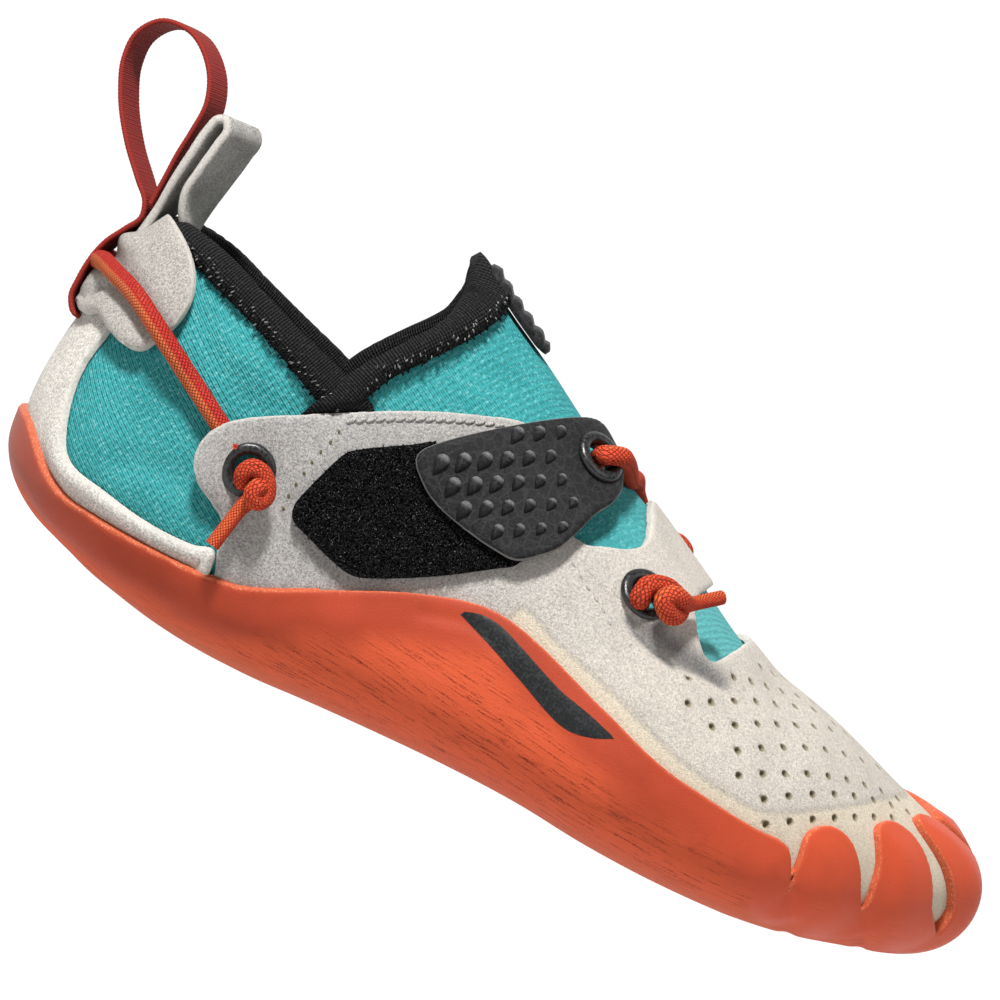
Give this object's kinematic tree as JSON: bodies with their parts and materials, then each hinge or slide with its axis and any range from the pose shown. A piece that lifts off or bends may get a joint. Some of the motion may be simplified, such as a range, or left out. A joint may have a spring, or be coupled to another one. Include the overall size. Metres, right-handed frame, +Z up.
{
  "type": "climbing shoe",
  "caption": "Child's climbing shoe for the right foot: knit sock upper, suede overlays, wrapped rubber sole with toe fingers, cord closure and heel loop.",
  "frame": {"origin": "middle of the flat spot under the heel, on the floor", "axes": "+X towards the toe, +Y towards the inner side of the foot, +Z up"},
  "size_m": [0.2046, 0.0759, 0.0957],
  "materials": {
    "orange_rubber": "matte",
    "turquoise_knit": "matte",
    "insole_cloth": "matte",
    "black_knit": "matte",
    "pale_suede": "matte",
    "black_pile": "matte",
    "black_rubber": "matte",
    "black_enamel": "satin",
    "orange_cord": "matte",
    "red_webbing": "matte"
  },
  "bodies": {
    "root": {"outsole": "orange_rubber", "sock_upper": "turquoise_knit", "insole": "insole_cloth", "collar_binding": "black_knit", "suede_upper": "pale_suede", "heel_band": "pale_suede", "heel_saddle": "pale_suede", "loop_patch": "black_pile", "strap_tab": "black_rubber", "tongue_patch": "black_rubber", "eyelet_heel_outer": "black_enamel", "eyelet_heel_inner": "black_enamel", "eyelet_vamp_outer": "black_enamel", "eyelet_vamp_inner": "black_enamel", "eyelet_strap_tab": "black_enamel", "heel_cord": "orange_cord", "instep_cord": "orange_cord", "cord_end_heel_outer": "orange_cord", "cord_end_heel_inner": "orange_cord", "cord_end_vamp_outer": "orange_cord", "pull_tab": "pale_suede", "webbing_loop": "red_webbing"}
  },
  "joints": []
}
